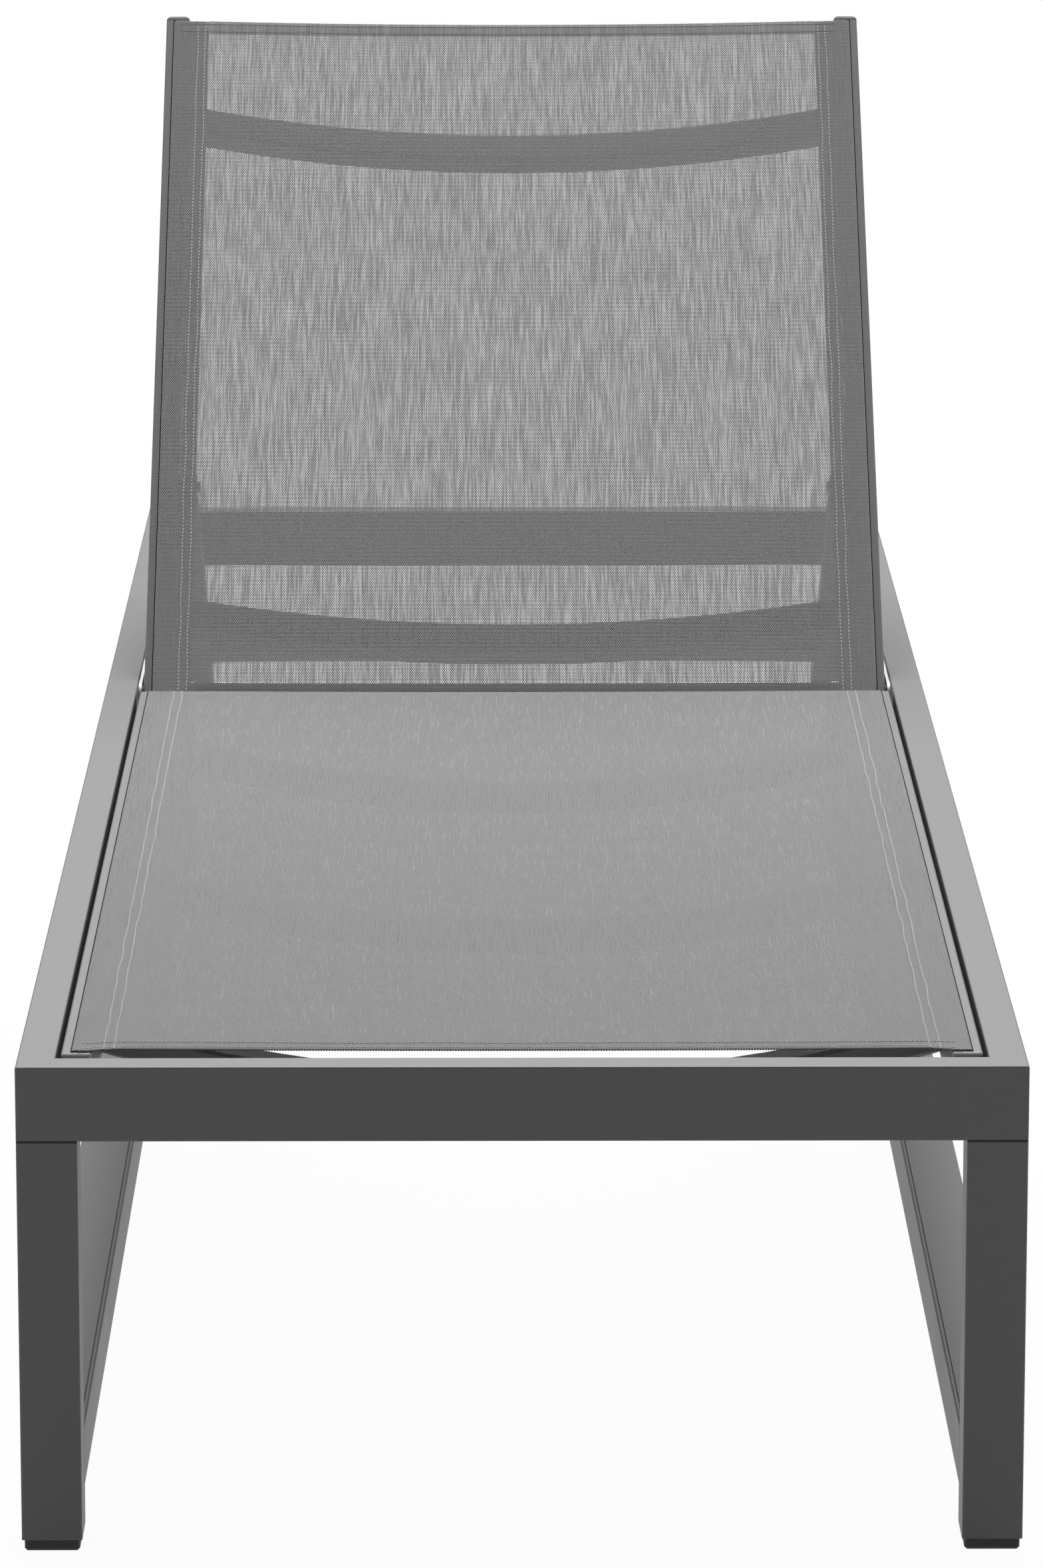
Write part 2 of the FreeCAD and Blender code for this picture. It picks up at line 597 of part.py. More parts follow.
def prop():
    """Two arms, a cross bar, and a foot rod with a sleeve on each end."""
    bar = arm()
    for side, sign in SIDES.items():
        parts[f"prop_arm_{side}"] = place_prop(on_side(bar, sign))
    w = ARM_WALL
    half = CROSSBAR_THICK / 2
    y1 = PROP_LENGTH - CROSSBAR_FROM_FOOT + CROSSBAR_WIDE / 2
    y0 = y1 - CROSSBAR_WIDE
    cross = round_edges(block(-ARM_INNER, ARM_INNER, y0, y1, -half, half), w, X_AXIS)
    cross = cross.cut(block(-ARM_INNER, ARM_INNER, y0 + w, y1 - w, -half + w, half - w))
    parts["prop_crossbar"] = place_prop(cross)
    rack_middle = RACK_INNER + RACK_THICK / 2
    sleeve_x0 = rack_middle - SLEEVE_LONG / 2
    sleeve_x1 = rack_middle + SLEEVE_LONG / 2
    rod = rod_x(ROD_R, -sleeve_x1, sleeve_x1, PROP_LENGTH, 0)
    parts["prop_rod"] = place_prop(rod)
    sleeve = rod_x(SLEEVE_R, sleeve_x0, sleeve_x1, PROP_LENGTH, 0).cut(rod)
    parts["prop_sleeves"] = group([place_prop(s) for s in both_sides([sleeve])])


def pivot_bolt():
    """The right-hand bolt that carries the prop, drawn on the flat back."""
    return flush_bolt(PIVOT_R, PIVOT_HEAD_R, PIVOT_HEAD, ARM_INNER - PIVOT_NUT, BACK_OUTER,
                      HINGE_Y + PIVOT_AT, FRAME_TOP - PIVOT_DEPTH)


def prop_pivots():
    """The bolts that carry the prop on the back rails, with their washers and nuts."""
    y = HINGE_Y + PIVOT_AT
    z = FRAME_TOP - PIVOT_DEPTH
    bolt = pivot_bolt()
    nut = rod_x(PIVOT_NUT_R, ARM_INNER - PIVOT_NUT, ARM_INNER - PIVOT_CLEAR, y, z).cut(bolt)
    washer = rod_x(WASHER_R, ARM_OUTER + PIVOT_CLEAR, BACK_INNER, y, z).cut(bolt)
    parts["prop_pivot_bolts"] = group([tilt(s) for s in both_sides([bolt])])
    parts["prop_pivot_nuts"] = group([tilt(s) for s in both_sides([nut])])
    parts["prop_washers"] = group([tilt(s) for s in both_sides([washer])])


# ---- racks -------------------------------------------------------------------------------
def racks():
    """Notched bars under the foot rod, hung from the side rails on two hangers each."""
    notch_step = BACK_ANGLE / REST_NOTCH
    half_steps = [notch_step * i / 2 for i in range(2 * NOTCHES - 1)]
    under = V(0, 0, -(SLEEVE_R + RACK_CLEAR))
    crest = [foot_point(angle) + under for angle in half_steps]
    rear = V(0, crest[0].y + RACK_END, crest[0].z)
    front = V(0, crest[-1].y - RACK_END, crest[-1].z)
    top = [rear] + crest + [front]
    low_z = min(p.z for p in top) - RACK_DEEP
    outline = top + [V(0, front.y, low_z), V(0, rear.y, low_z), rear]
    outline = [V(RACK_INNER, p.y, p.z) for p in outline]
    bar = Part.Face(Part.makePolygon(outline)).extrude(V(RACK_THICK, 0, 0))
    for angle in half_steps[::2]:
        seat = foot_point(angle) - V(0, 0, NOTCH_DEEP)
        bar = bar.cut(rod_x(SLEEVE_R + RACK_CLEAR, RACK_INNER, HANGER_INNER, seat.y, seat.z))
    hanger_low = low_z + HANGER_SHORT
    hangers = []
    rivets = []
    screws = []
    rivet_z = hanger_low + RACK_DEEP / 2
    screw_z = RAIL_BOTTOM + HANGER_SCREW_UP
    wall = SIDE_INNER + RAIL_WALL
    for end, inward in ((front, 1), (rear, -1)):
        y_out = end.y
        y_in = end.y + inward * HANGER_WIDE
        y_mid = (y_out + y_in) / 2
        hanger = block(HANGER_INNER, SIDE_INNER, y_out, y_in, hanger_low,
                       FRAME_TOP - HANGER_TOP_GAP)
        hanger = round_edges(hanger, RIVET_R, X_AXIS)
        rivet_hole = rod_x(RIVET_R, RACK_INNER, SIDE_INNER, y_mid, rivet_z)
        bar = bar.cut(rivet_hole)
        screw_hole = rod_x(RIVET_R, HANGER_INNER, wall, y_mid, screw_z)
        hangers.append(hanger.cut(rivet_hole).cut(screw_hole))
        rivet = rivet_hole.fuse(rod_x(RIVET_HEAD_R, RACK_INNER - RIVET_HEAD, RACK_INNER,
                                      y_mid, rivet_z))
        rivets.append(rivet.removeSplitter())
        screw = screw_hole.fuse(rod_x(RIVET_HEAD_R, HANGER_INNER - RIVET_HEAD,
                                      HANGER_INNER, y_mid, screw_z))
        screws.append(screw.removeSplitter())
        for side, sign in SIDES.items():
            name = f"side_rail_{side}"
            parts[name] = parts[name].cut(on_side(screw_hole, sign))
    for side, sign in SIDES.items():
        parts[f"rack_bar_{side}"] = on_side(bar, sign)
    parts["rack_hangers"] = group(both_sides(hangers))
    parts["rack_rivets"] = group(both_sides(rivets))
    parts["rack_screws"] = group(both_sides(screws))


outer_frame()
legs()
runners()
seat_section()
hinge()
back_section()
prop()
prop_pivots()
racks()

os.makedirs("parts", exist_ok=True)
for name, shape in parts.items():
    shape.exportStep(f"parts/{name}.step")
    print(name, len(shape.Solids), round(shape.Volume), shape.isValid())
print(len(parts), "sub-parts")
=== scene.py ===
"""Reclining sun lounger: finishes, stretched mesh slings, stitching and studio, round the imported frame."""

import json
import math
from collections import namedtuple

import bmesh
import bpy
from mathutils import Matrix, Vector, noise


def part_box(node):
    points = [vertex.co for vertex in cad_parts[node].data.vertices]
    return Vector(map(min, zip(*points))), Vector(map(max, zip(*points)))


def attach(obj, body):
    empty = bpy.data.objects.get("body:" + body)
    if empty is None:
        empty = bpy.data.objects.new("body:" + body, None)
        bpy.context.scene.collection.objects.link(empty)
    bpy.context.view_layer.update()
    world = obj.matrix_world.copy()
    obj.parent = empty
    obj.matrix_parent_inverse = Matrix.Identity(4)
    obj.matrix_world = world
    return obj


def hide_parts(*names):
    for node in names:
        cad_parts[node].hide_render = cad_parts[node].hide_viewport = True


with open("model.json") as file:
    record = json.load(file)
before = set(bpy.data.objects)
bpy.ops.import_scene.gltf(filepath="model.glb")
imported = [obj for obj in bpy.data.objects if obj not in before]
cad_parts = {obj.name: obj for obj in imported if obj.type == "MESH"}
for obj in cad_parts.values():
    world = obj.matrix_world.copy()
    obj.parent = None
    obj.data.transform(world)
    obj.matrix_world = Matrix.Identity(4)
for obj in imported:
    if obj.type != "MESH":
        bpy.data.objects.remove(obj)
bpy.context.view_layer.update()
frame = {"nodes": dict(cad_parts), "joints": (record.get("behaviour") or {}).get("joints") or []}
nodes = frame["nodes"]
MM = 0.001


# ---------------------------------------------------------------- shader maths

class Value:
    """A shader socket; arithmetic on it adds Math nodes to its finish."""

    def __init__(self, finish, socket):
        self.finish, self.socket = finish, socket

    def _math(self, operation, *others):
        return self.finish.node("ShaderNodeMath", {"operation": operation}, *others)

    def __add__(self, other):
        return self._math("ADD", self, other)

    __radd__ = __add__

    def __sub__(self, other):
        return self._math("SUBTRACT", self, other)

    def __rsub__(self, other):
        return self._math("SUBTRACT", other, self)

    def __mul__(self, other):
        return self._math("MULTIPLY", self, other)

    __rmul__ = __mul__

    def __truediv__(self, other):
        return self._math("DIVIDE", self, other)

    def __mod__(self, other):
        return self._math("FLOORED_MODULO", self, other)

    def __lt__(self, other):
        return self._math("LESS_THAN", self, other)

    def floor(self):
        return self._math("FLOOR", self)

    def fraction(self):
        return self._math("FRACT", self)

    def root(self):
        return self._math("SQRT", self)

    def sine(self):
        return self._math("SINE", self)

    def larger(self, other):
        return self._math("MAXIMUM", self, other)

    def ramp(self, low, high):
        """0 below low, 1 above high, a smooth slope between."""
        return self.finish.node("ShaderNodeMapRange", {"interpolation_type": "SMOOTHSTEP"}, self, low, high)


class Finish:
    """The nodes of one material, or of the world."""

    def __init__(self, name, owner=None):
        self.owner = owner or bpy.data.materials.new(name)
        self.owner.use_nodes = True
        self.tree = self.owner.node_tree
        self.tree.nodes.clear()

    def node(self, kind, settings=None, *values, out=0, **named):
        """A node of that kind; settings first, then its inputs by place or by name; one output comes back."""
        made = self.tree.nodes.new(kind)
        for key, setting in (settings or {}).items():
            setattr(made, key, setting)
        pairs = list(zip(made.inputs, values))
        pairs += [(made.inputs[key.replace("_", " ")], value) for key, value in named.items()]
        for socket, value in pairs:
            if value is None:
                continue
            if isinstance(value, Value):
                self.tree.links.new(value.socket, socket)
            else:
                socket.default_value = value
        return Value(self, made.outputs[out]) if made.outputs else None

    def place(self):
        """Object coordinates, in metres."""
        return self.node("ShaderNodeTexCoord", out="Object")

    def stretched(self, x, y, z):
        """Object coordinates, each axis scaled."""
        return self.node("ShaderNodeMapping", None, self.place(), Scale=(x, y, z))

    def noise(self, where, scale, detail=2.0, rough=0.5):
        return self.node("ShaderNodeTexNoise", None,
                         Vector=where, Scale=scale, Detail=detail, Roughness=rough)

    def tint(self, amount, low, high):
        """A grey between two greys; a Mix node's two colours come after its numbers and vectors."""
        return self.node("ShaderNodeMix", {"data_type": "RGBA"}, amount, None, None, None, None, None,
                         (low, low, low, 1), (high, high, high, 1), out=2)

    def bump(self, height, depth, strength=1.0, below=None):
        return self.node("ShaderNodeBump", None,
                         Height=height, Distance=depth, Strength=strength, Normal=below)

    def surface(self, **inputs):
        """The Principled shader and the output; the material comes back."""
        return self.show(self.node("ShaderNodeBsdfPrincipled", None, **inputs))

    def seen(self):
        """1 where the camera, a reflection or glass looks, 0 for light that bounces on."""
        camera, glossy, through = (self.node("ShaderNodeLightPath", out=f"Is {kind} Ray")
                                   for kind in ("Camera", "Glossy", "Transmission"))
        return camera.larger(glossy).larger(through)

    def show(self, shader, end="ShaderNodeOutputMaterial"):
        """Ends the nodes with their output; the material or world comes back."""
        self.node(end, None, Surface=shader)
        return self.owner


# ---------------------------------------------------------------- finishes

def powder_coat(name, tone, stretch=(1, 1, 1)):
    """Charcoal powder coat on aluminium: a fine orange-peel skin, faint clouding and a few rubbed streaks."""
    f = Finish(name)
    where = f.place()
    cloud = f.noise(where, 7, 3)
    speck = f.noise(where, 900, 1)
    streak = f.noise(f.stretched(*stretch), 60, 4, 0.65).ramp(0.62, 0.8)
    amount = cloud * 0.6 + speck * 0.4 + streak * 0.25
    colour = f.tint(amount, tone * 0.86, tone * 1.14)
    peel = f.bump(f.noise(where, 420, 2), 0.00012)
    grain = f.bump(speck, 0.00006, 1.0, peel)
    return f.surface(Base_Color=colour, Roughness=0.44 + cloud * 0.12 - streak * 0.08, Normal=grain)


def mesh_fabric(name, tone):
    """Coated polyester mesh: oval holes set like brickwork, ribbed warp threads, uneven streaks, and a
    painted highlight on the threads' crowns with painted shade at the holes' rims.
    """
    f = Finish(name)
    uv = f.node("ShaderNodeUVMap", {"uv_map": "cut"})
    across = f.node("ShaderNodeSeparateXYZ", None, uv, out=0) / HOLE_PITCH
    along = f.node("ShaderNodeSeparateXYZ", None, uv, out=1) / HOLE_ROW
    row = along.floor()
    shifted = across + (row % 2) * 0.5
    dx = (shifted.fraction() - 0.5) / HOLE_HALF_WIDE
    dy = (along.fraction() - 0.5) / HOLE_HALF_LONG
    from_hole = (dx * dx + dy * dy).root()
    thread = (across * 2).floor()
    uneven = f.node("ShaderNodeCombineXYZ", None, thread * STREAK_ACROSS, along * STREAK_ALONG, 0.0)
    streak = f.noise(uneven, 1.0, 2, 0.6).ramp(0.32, 0.68)
    open_hole = from_hole < 0.72 + streak * 0.6
    fine = f.node("ShaderNodeTexWhiteNoise", {"noise_dimensions": "2D"},
                  Vector=f.node("ShaderNodeCombineXYZ", None, thread, row, 0.0))
    # This rise from the holes' rims to the threads' crowns shapes the bump, and in the colour it is a painted
    # highlight on the crowns and painted shade at the rims.
    crown_and_highlight = from_hole.ramp(0.95, 1.9)
    # the last term is painted light: thread crowns lighter, hole rims darker
    amount = streak * 0.35 + fine * 0.3 + crown_and_highlight * 0.35
    colour = f.tint(amount, tone * 0.74, tone * 1.26)
    ribs = (across * (4 * math.pi)).sine() * 0.25 + 0.5
    height = crown_and_highlight * 0.7 + ribs * 0.3
    return f.surface(Base_Color=colour, Roughness=0.68 + fine * 0.2, Alpha=1 - open_hole,
                     Specular_IOR_Level=0.25, Normal=f.bump(height, 0.00025))


def moulded(name, tone, rough):
    """Moulded plastic: a fine spark-eroded grain and faint flow marks."""
    f = Finish(name)
    where = f.place()
    flow = f.noise(f.stretched(1, 1, 6), 18, 2)
    grain = f.noise(where, 1500, 2)
    colour = f.tint(flow * 0.6 + grain * 0.4, tone * 0.8, tone * 1.2)
    return f.surface(Base_Color=colour, Roughness=rough + grain * 0.15, Normal=f.bump(grain, 0.00006))


def metal(name, tone, rough, stretch):
    """Bare or plated metal: drawn scratches along one way and slightly dull patches."""
    f = Finish(name)
    scratch = f.noise(f.stretched(*stretch), 500, 3, 0.7)
    dull = f.noise(f.place(), 45, 3)
    colour = f.tint(dull * 0.5 + scratch * 0.5, tone * 0.85, tone * 1.1)
    return f.surface(Base_Color=colour, Metallic=1.0, Roughness=rough + dull * 0.18,
                     Normal=f.bump(scratch, 0.00003))


def cord_rubber(name, tone):
    """Extruded round cord held in the groove: drawn lines along its length."""
    f = Finish(name)
    lines = f.noise(f.stretched(1, 0.02, 1), 900, 2)
    return f.surface(Base_Color=f.tint(lines, tone * 0.7, tone * 1.3), Roughness=0.5 + lines * 0.2,
                     Normal=f.bump(lines, 0.00005))


def sewing_thread(name, tone):
    """Twisted polyester thread."""
    f = Finish(name)
    twist = f.noise(f.place(), 2600, 1)
    return f.surface(Base_Color=f.tint(twist, tone * 0.8, tone * 1.15), Roughness=0.5 + twist * 0.2,
                     Normal=f.bump(twist, 0.0001))


HOLE_PITCH = 1.8 * MM
HOLE_ROW = 1.45 * MM
HOLE_HALF_WIDE = 0.26    # a share of the pitch
HOLE_HALF_LONG = 0.28    # a share of the row
STREAK_ACROSS = 1.37     # steps of the streaks' noise from one thread to the next
STREAK_ALONG = 0.03      # and from one row of holes to the next
COAT_TONE = 0.165

COAT_ACROSS = powder_coat("powder_coat_across", COAT_TONE, (1, 12, 12))
COAT_ALONG = powder_coat("powder_coat_along", COAT_TONE, (12, 1, 12))
COAT_UPRIGHT = powder_coat("powder_coat_upright", COAT_TONE, (12, 12, 1))
FABRIC = mesh_fabric("sling_mesh", 0.33)
BLACK = moulded("black_plastic", 0.035, 0.55)
GREY = moulded("grey_plastic", 0.28, 0.45)
CORD = cord_rubber("spline_cord", 0.04)
SCREW = metal("bright_steel", 0.75, 0.22, (1, 6, 6))
PLATE = metal("plated_steel", 0.6, 0.5, (1, 8, 8))
THREAD = sewing_thread("sewing_thread", 0.62)
HEM_THREAD = sewing_thread("hem_thread", 0.34)
# near-black beads along the seat's front fold: painted shade where the hem's edge turns under
EDGE_SHADE_BEADS = sewing_thread("edge_shade_beads", 0.07)

BY_SLOT = {"black_plastic": BLACK, "grey_plastic": GREY, "spline_cord": CORD,
           "bright_steel": SCREW, "plated_steel": PLATE, "mesh_fabric": FABRIC}
ACROSS = ("front_rail", "rear_rail", "seat_spreader", "back_spreader", "prop_crossbar")
UPRIGHT = ("front_leg", "rear_leg")


def finish_for(name, slot_name):
    if slot_name != "powder_coat":
        return BY_SLOT[slot_name]
    if name.startswith(ACROSS):
        return COAT_ACROSS
    return COAT_UPRIGHT if name.startswith(UPRIGHT) else COAT_ALONG


for node_name, part in nodes.items():
    for holder in part.material_slots:
        finish = finish_for(node_name, holder.material.name.split(".")[0])
        holder.link = "OBJECT"
        holder.material = finish


# ---------------------------------------------------------------- slings

HINGE_RECORD = next(j for j in frame["joints"] if j["name"] == "back_hinge")
HINGE = Vector(HINGE_RECORD["pos_m"])
BACK_LIFT = Matrix.Translation(HINGE) @ Matrix.Rotation(-math.radians(HINGE_RECORD["range_deg"][0]), 4, "X") \
    @ Matrix.Translation(-HINGE)

# All sizes of the slings are in mm, and the back's are those of the back laid flat.
TOP_Z = 331.2            # middle of the upper layer of cloth
UNDER_Z = 330.6          # middle of the turned-under layer
CLOTH = 0.25             # thickness of one layer
GROOVE_IN = 7.2          # groove centre, in from the rail's outer face
SIDE_FLAP = 30.0         # side hem, from the groove to its cut edge
ROWS_IN = (20.5, 27.0)   # the two rows of side stitching, in from the groove
BACK_OVERHANG = 2.5      # how far the top hem reaches past its solid, short of the rails' ends
END_HOLD = 70.0          # how far from an end its edge's curve reaches into the cloth
RAIL_HOLD = 16.0         # strip in from the groove that the rail keeps from sagging
TOP_TURN = 1.0           # bend of the cloth into the groove
TOP_TURN_IN = 0.65       # where that bend starts, in from the groove's centre
SPLINE_Z = 328.1         # lowest bend, round the cord
SPLINE_TURN = 0.35
FLAP_TURN = 0.4          # bend of the side hem out of the groove
FLAP_TURN_IN = 0.75      # where that bend ends, in from the groove's centre
FLAP_GAP = 0.4           # gap between an end hem and a side hem's cut edge
INNER_COLUMNS = 23       # columns of cloth between the middle and the side hem's edge
OUTER_COLUMNS = 3
FLAP_COLUMNS = 6
BODY_ROWS = 64
SHARP_FROM = 60          # degrees: the cloth's cut edges stay sharp, its bends don't
HEM_ROWS = 4


def arc(centre, radius, start, end, steps):
    """Points on a bend, from just after its start to its end, in degrees."""
    angles = [math.radians(start + (end - start) * k / steps) for k in range(1, steps + 1)]
    return [(centre[0] + radius * math.cos(a), centre[1] + radius * math.sin(a)) for a in angles]


def measured(points):
    """Each point with its distance along the cloth from the first one."""
    run, out = 0.0, [(0.0, *points[0])]
    for a, b in zip(points, points[1:]):
        run += math.dist(a, b)
        out.append((run, *b))
    return out


def across_section(groove):
    """Half of the cloth from the middle outwards, down into the groove, round and back as the side hem."""
    corner, inner = groove - TOP_TURN_IN, groove - SIDE_FLAP - FLAP_GAP
    points = [(inner * k / INNER_COLUMNS, TOP_Z) for k in range(INNER_COLUMNS + 1)]
    points += [(inner + (corner - inner) * k / OUTER_COLUMNS, TOP_Z) for k in range(1, OUTER_COLUMNS + 1)]
    points += arc((corner, TOP_Z - TOP_TURN), TOP_TURN, 90, 0, 4)
    points += [(groove + SPLINE_TURN, SPLINE_Z)]
    points += arc((groove, SPLINE_Z), SPLINE_TURN, 0, -180, 4)
    points += [(groove - SPLINE_TURN, UNDER_Z - FLAP_TURN)]
    points += arc((groove - FLAP_TURN_IN, UNDER_Z - FLAP_TURN), FLAP_TURN, 0, 90, 3)
    points += [(groove - FLAP_TURN_IN - (SIDE_FLAP - FLAP_TURN_IN) * k / FLAP_COLUMNS, UNDER_Z)
               for k in range(1, FLAP_COLUMNS + 1)]
    half = measured(points)
    return [(-s, -x, z) for s, x, z in reversed(half[1:])] + half


def along_section(y0, y1, hem0, hem1):
    """The cloth from the cut edge of one end hem to the cut edge of the other."""
    turn = (TOP_Z - UNDER_Z) / 2
    middle = (TOP_Z + UNDER_Z) / 2
    points = [(y0 + hem0 - (hem0 - turn) * k / HEM_ROWS, UNDER_Z) for k in range(HEM_ROWS + 1)]
    points += arc((y0 + turn, middle), turn, -90, -270, 4)
    body_first = len(points) - 1
    points += [(y0 + turn + (y1 - y0 - 2 * turn) * k / BODY_ROWS, TOP_Z) for k in range(1, BODY_ROWS + 1)]
    body_last = len(points) - 1
    points += arc((y1 - turn, middle), turn, 90, -90, 4)
    points += [(y1 - turn - (hem1 - turn) * k / HEM_ROWS, UNDER_Z) for k in range(1, HEM_ROWS + 1)]
    return measured(points), body_first, body_last


class Sling:
    """One stretched sheet: its groove, its ends and how its surface lies."""

    def __init__(self, name, groove, y0, y1, hem0, hem1, sag, edge0, edge1, body, lift):
        self.name, self.groove, self.y0, self.y1 = name, groove, y0, y1
        self.hem0, self.hem1, self.sag, self.edge0, self.edge1 = hem0, hem1, sag, edge0, edge1
        self.body, self.lift = body, lift

    def settle(self, x, y, z):
        """A point of the flat layout where the cloth really lies, in mm."""
        near0 = max(0.0, 1 - (y - self.y0) / END_HOLD) ** 2
        near1 = max(0.0, 1 - (self.y1 - y) / END_HOLD) ** 2
        t = min(1.0, max(0.0, (y - self.y0) / (self.y1 - self.y0)))
        hollow = max(0.0, 1 - (x / (self.groove - RAIL_HOLD)) ** 2)
        dip = self.sag * hollow * (0.35 + 0.65 * math.sin(math.pi * t))
        return Vector((x, y + self.edge0(x) * near0 + self.edge1(x) * near1, z - dip))

    def place(self, x, y, z):
        """The same point on the finished sling, in metres."""
        return self.lift @ (self.settle(x, y, z) * MM)

    def cloth(self):
        """The sheet, shaped from its two sections on a grid, with its flat cut kept as its UV map."""
        across = across_section(self.groove)
        along, first, last = along_section(self.y0, self.y1, self.hem0, self.hem1)
        top_half = self.groove - SIDE_FLAP
        bm = bmesh.new()
        cut = bm.loops.layers.uv.new("cut")
        grid = {}
        for i, (s, x, z) in enumerate(across):
            for j, (v, y, z_end) in enumerate(along):
                body_row = first <= j <= last
                if not body_row and abs(s) > top_half:
                    continue
                spot = self.settle(x, y, z if body_row else z_end) * MM
                grid[i, j] = (bm.verts.new(spot), s * MM, v * MM)
        area = 0.0
        for i in range(len(across) - 1):
            for j in range(len(along) - 1):
                keys = [(i, j), (i + 1, j), (i + 1, j + 1), (i, j + 1)]
                if not all(k in grid for k in keys):
                    continue
                if not (first <= j < last) and max(abs(grid[k][1]) for k in keys) > top_half * MM:
                    continue
                face = bm.faces.new([grid[k][0] for k in keys])
                face.smooth = True
                for loop, k in zip(face.loops, keys):
                    loop[cut].uv = grid[k][1:]
                (_, s0, v0), (_, s1, v1) = grid[keys[0]], grid[keys[2]]
                area += abs(s1 - s0) * abs(v1 - v0)
        self.cut_size = (2 * across[-1][0] * MM, along[-1][0] * MM)
        self.cut_area = area
        piece = new_piece(self.name + "_cloth", bm, FABRIC)
        thick = piece.modifiers.new("thickness", "SOLIDIFY")
        thick.thickness = CLOTH * MM
        thick.offset = 0
        thick.use_even_offset = True
        apply_modifiers(piece)
        piece.data.transform(self.lift)
        outward(piece)
        bpy.ops.object.shade_smooth_by_angle(angle=math.radians(SHARP_FROM))
        return piece

    def stitched(self, suffix, rows):
        """All the rows of stitches on the sling, as one piece."""
        piece = stitch_rows(self.name + "_" + suffix, self, rows)
        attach(piece, self.body)
        return piece


def select_only(piece):
    bpy.ops.object.select_all(action="DESELECT")
    piece.select_set(True)
    bpy.context.view_layer.objects.active = piece


def new_piece(name, bm, finish):
    mesh = bpy.data.meshes.new(name)
    bm.to_mesh(mesh)
    bm.free()
    mesh.materials.append(finish)
    piece = bpy.data.objects.new(name, mesh)
    bpy.context.scene.collection.objects.link(piece)
    return piece


def apply_modifiers(piece):
    select_only(piece)
    for modifier in list(piece.modifiers):
        bpy.ops.object.modifier_apply(modifier=modifier.name)


def outward(piece):
    select_only(piece)
    bpy.ops.object.mode_set(mode="EDIT")
    bpy.ops.mesh.select_all(action="SELECT")
    bpy.ops.mesh.normals_make_consistent(inside=False)
    bpy.ops.object.mode_set(mode="OBJECT")


def bead(name, size, finish, count, step, turn):
    """A row of threads along Y: one is shaped, its neighbour leans the other way, and the pair repeats."""
    bpy.ops.object.select_all(action="DESELECT")
    bpy.ops.mesh.primitive_uv_sphere_add(segments=6, ring_count=6, radius=1.0, location=(0, 0, 0))
    piece = bpy.context.object
    piece.name = piece.data.name = name
    bpy.ops.object.mode_set(mode="EDIT")
    bpy.ops.mesh.select_all(action="SELECT")
    bpy.ops.transform.rotate(value=math.pi / 2, orient_axis="X", center_override=(0, 0, 0))
    bpy.ops.transform.resize(value=[axis * MM for axis in size])
    bpy.ops.transform.rotate(value=turn, orient_axis="Z", center_override=(0, 0, 0))
    bpy.ops.mesh.duplicate()
    bpy.ops.transform.rotate(value=-2 * turn, orient_axis="Z", center_override=(0, 0, 0))
    bpy.ops.transform.translate(value=(0, step * MM, 0))
    bpy.ops.object.mode_set(mode="OBJECT")
    row = piece.modifiers.new("row", "ARRAY")
    row.count = max(1, round(count / 2))
    row.use_relative_offset = False
    row.use_constant_offset = True
    row.constant_offset_displace = (0, 2 * step * MM, 0)
    apply_modifiers(piece)
    piece.data.materials.clear()
    piece.data.materials.append(finish)
    bpy.ops.object.shade_smooth()
    return piece


def join(name, pieces):
    bpy.ops.object.select_all(action="DESELECT")
    for piece in pieces:
        piece.select_set(True)
    bpy.context.view_layer.objects.active = pieces[0]
    bpy.ops.object.join()
    joined = bpy.context.object
    joined.name = joined.data.name = name
    return joined


STITCH = (0.55, 1.45, 0.35)         # half sizes of a stitch: across, along and up
FINE_STITCH = (0.35, 1.5, 0.25)
# half sizes of the near-black beads along the seat's front fold, painted shade of the hem's edge
EDGE_SHADE_BEAD = (0.75, 0.75, 0.6)
DRIFT_LENGTH = 45.0                 # a row strays from its line and back over about this length
DRIFT_APART = 7.3                   # keeps the rows' drifts unlike each other

Row = namedtuple("Row", "x y way length finish size pitch lean wander height")


def stitch_rows(name, sling, rows):
    """Rows of stitches laid on a sling, each along X or Y of the flat layout."""
    made = []
    for number, line in enumerate(rows):
        count = line.length / line.pitch
        row = bead(f"{name}_{number}", line.size, line.finish, count, line.pitch, line.lean)
        for vertex in row.data.vertices:
            off, run, up = vertex.co / MM
            place_in_noise = Vector((number * DRIFT_APART, run / DRIFT_LENGTH, 0))
            off += line.wander * noise.noise(place_in_noise) if line.wander else 0.0
            x, y = (line.x + off, line.y + run) if line.way == "Y" else (line.x + run, line.y + off)
            vertex.co = sling.place(x, y, TOP_Z + CLOTH / 2 + line.height + up)
        made.append(row)
    piece = join(name, made)
    outward(piece)
    return piece


CURL_END = 290.0         # half width at which a corner has run out fully
BOW_END = 293.0          # half width at which a bowed edge meets its rails


def corner_curl(reach, out):
    """An end edge that runs out towards the rails at its two corners."""
    def edge(x):
        t = min(1.0, max(0.0, (abs(x) - reach) / (CURL_END - reach)))
        return out * t * t * (3 - 2 * t)
    return edge


def bow(depth):
    """An end edge that hangs back in its middle."""
    return lambda x: depth * (1 - (x / BOW_END) ** 2)


def straight(x):
    """An end edge with no curve."""
    return 0.0


seat_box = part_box("seat_sling")
seat_y = (seat_box[0].y / MM, seat_box[1].y / MM)
seat_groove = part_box("seat_rail_right")[1].x / MM - GROOVE_IN
back_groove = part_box("back_rail_right")[1].x / MM - GROOVE_IN
back_flat = [BACK_LIFT.inverted() @ v.co for v in nodes["back_sling"].data.vertices]
back_y = (min(p.y for p in back_flat) / MM, max(p.y for p in back_flat) / MM + BACK_OVERHANG)

SAG = 3.0

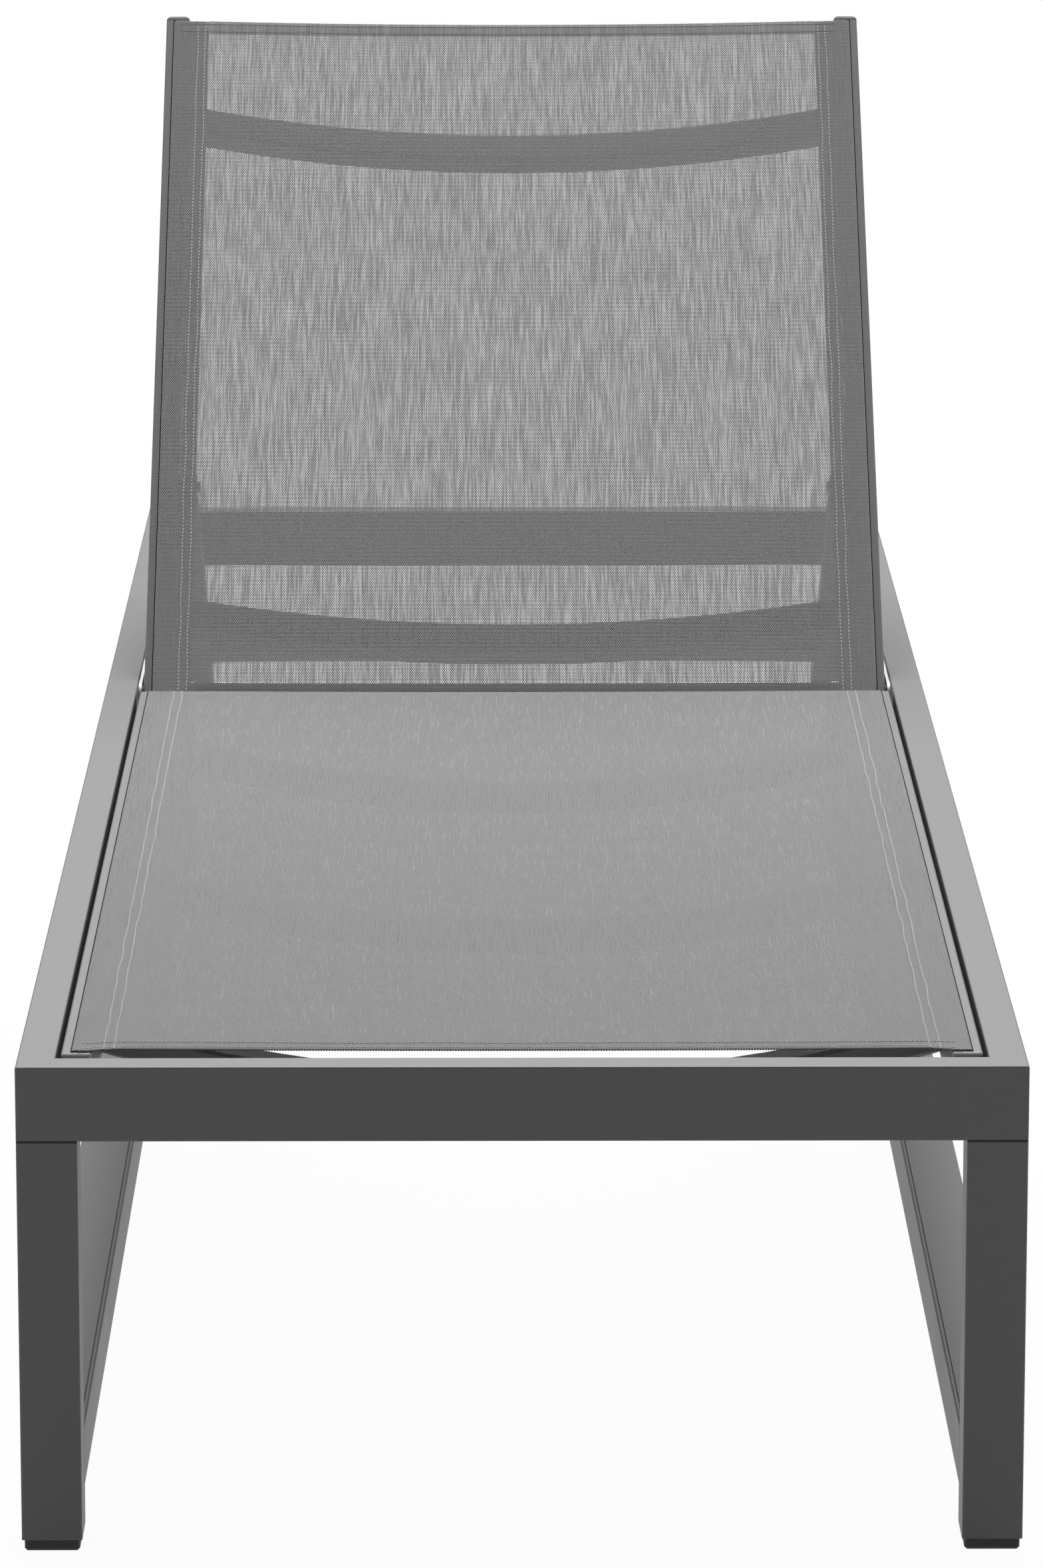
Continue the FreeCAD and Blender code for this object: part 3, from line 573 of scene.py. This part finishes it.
SEAT = Sling("seat", seat_groove, *seat_y, hem0=19.0, hem1=12.0, sag=SAG,
             edge0=corner_curl(262, -6.0), edge1=straight, body="frame", lift=Matrix.Identity(4))
BACK = Sling("back", back_groove, *back_y, hem0=9.0, hem1=15.5, sag=SAG,
             edge0=straight, edge1=bow(-4.5), body="back", lift=BACK_LIFT)

SIDE_ROW_END = 2         # a side row stops this far from each end


def side_rows(sling):
    """The two rows of stitching down each side."""
    length = sling.y1 - sling.y0 - 2 * SIDE_ROW_END
    return [Row(sign * (sling.groove - inset), sling.y0 + SIDE_ROW_END, "Y", length, THREAD, STITCH,
                pitch=3.7, lean=0.22, wander=1.1, height=0.12)
            for sign in (-1, 1) for inset in ROWS_IN]


def hem_row(y, half_length, finish, size, **rest):
    """A row across the cloth, as far out on one side as on the other."""
    return Row(-half_length, y, "X", 2 * half_length, finish, size, **rest)


SEAT_HEM_ROWS = [
    hem_row(SEAT.y0 + 5, 288, THREAD, STITCH, pitch=2.9, lean=0.6, wander=1.2, height=0.12),
    hem_row(SEAT.y0 + 16, 288, HEM_THREAD, STITCH, pitch=2.9, lean=0.5, wander=1.2, height=0.12),
    # near-black beads along the front fold, under the top layer: painted shade of the hem's edge
    hem_row(SEAT.y0 - 0.3, 290, EDGE_SHADE_BEADS, EDGE_SHADE_BEAD, pitch=1.8, lean=0.0, wander=0.0, height=-0.7),
    hem_row(SEAT.y1 - 2, 288, THREAD, FINE_STITCH, pitch=2.4, lean=0.6, wander=0.5, height=0.1)]
BACK_HEM_ROWS = [
    hem_row(BACK.y1 - from_edge, 286, HEM_THREAD, FINE_STITCH, pitch=3.2, lean=0.0, wander=0.3, height=0.1)
    for from_edge in (3.5, 12.5)]

for sling, node_name, hem_rows in ((SEAT, "seat_sling", SEAT_HEM_ROWS), (BACK, "back_sling", BACK_HEM_ROWS)):
    cloth = sling.cloth()
    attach(cloth, sling.body)
    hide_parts(node_name)
    thread = sling.stitched("stitching", side_rows(sling) + hem_rows)


# ---------------------------------------------------------------- studio

SHADOW_FULL, SHADOW_GONE = 1.3, 2.4      # metres from the lounger's middle
SHADOW_SHARE = 0.04


def studio_floor():
    """White as seen, with a very faint shadow near the lounger; a mid grey to light that bounces on."""
    f = Finish("studio_floor")
    away = f.node("ShaderNodeVectorMath", {"operation": "LENGTH"}, f.place(), out="Value")
    near = 1 - away.ramp(SHADOW_FULL, SHADOW_GONE)
    shade = f.node("ShaderNodeBsdfDiffuse", None, Color=(0.42, 0.42, 0.42, 1))
    white = f.node("ShaderNodeEmission", None, Color=(1, 1, 1, 1), Strength=1.0)
    pale = f.node("ShaderNodeBsdfDiffuse", None, Color=(0.95, 0.95, 0.95, 1))
    shown = f.node("ShaderNodeMixShader", None, near * SHADOW_SHARE, white, pale)
    return f.show(f.node("ShaderNodeMixShader", None, f.seen(), shade, shown))


def studio_world():
    """White behind everything as the camera sees it, and a soft even light to all other rays."""
    f = Finish("studio_world", bpy.data.worlds.new("studio_world"))
    soft = f.node("ShaderNodeBackground", None, Color=(1, 1, 1, 1), Strength=0.22)
    white = f.node("ShaderNodeBackground", None, Color=(1, 1, 1, 1), Strength=1.0)
    camera_ray = f.node("ShaderNodeLightPath", out="Is Camera Ray")
    return f.show(f.node("ShaderNodeMixShader", None, camera_ray, soft, white), "ShaderNodeOutputWorld")


def area_lamp(name, place, target, size, power):
    lamp = bpy.data.lights.new(name, "AREA")
    lamp.shape = "RECTANGLE"
    lamp.size, lamp.size_y = size
    lamp.energy = power
    holder = bpy.data.objects.new(name, lamp)
    holder.location = place
    holder.rotation_euler = (Vector(target) - Vector(place)).to_track_quat("-Z", "Y").to_euler()
    bpy.context.scene.collection.objects.link(holder)


FLOOR_SIZE = 80.0
FLOOR_DROP = 0.0005      # keeps the floor just under the feet
bpy.ops.object.select_all(action="DESELECT")
bpy.ops.mesh.primitive_plane_add(size=FLOOR_SIZE, location=(0, 0, -FLOOR_DROP))
floor = bpy.context.object
floor.name = "studio_floor"
floor.data.materials.append(studio_floor())

scene = bpy.context.scene
scene.world = studio_world()

LIT_POINT = (0, 0, 0.3)
area_lamp("overhead", (0.0, 4.4, 5.5), LIT_POINT, (5.0, 5.0), 570)
area_lamp("left_fill", (-3.6, 0.6, 1.6), LIT_POINT, (2.0, 2.0), 44)
area_lamp("right_fill", (3.6, 0.6, 1.6), LIT_POINT, (2.0, 2.0), 60)

LOOKS_DOWN, TURN = 12.64, -0.29      # degrees
camera = bpy.data.cameras.new("camera")
camera.sensor_width = 36
camera.lens = 169.3
camera.clip_end = 100
holder = bpy.data.objects.new("camera", camera)
holder.location = (-0.024, -5.635, 1.558)
holder.rotation_euler = (math.radians(90 - LOOKS_DOWN), 0, math.radians(TURN))
scene.collection.objects.link(holder)
scene.camera = holder
scene.view_settings.view_transform = "Standard"
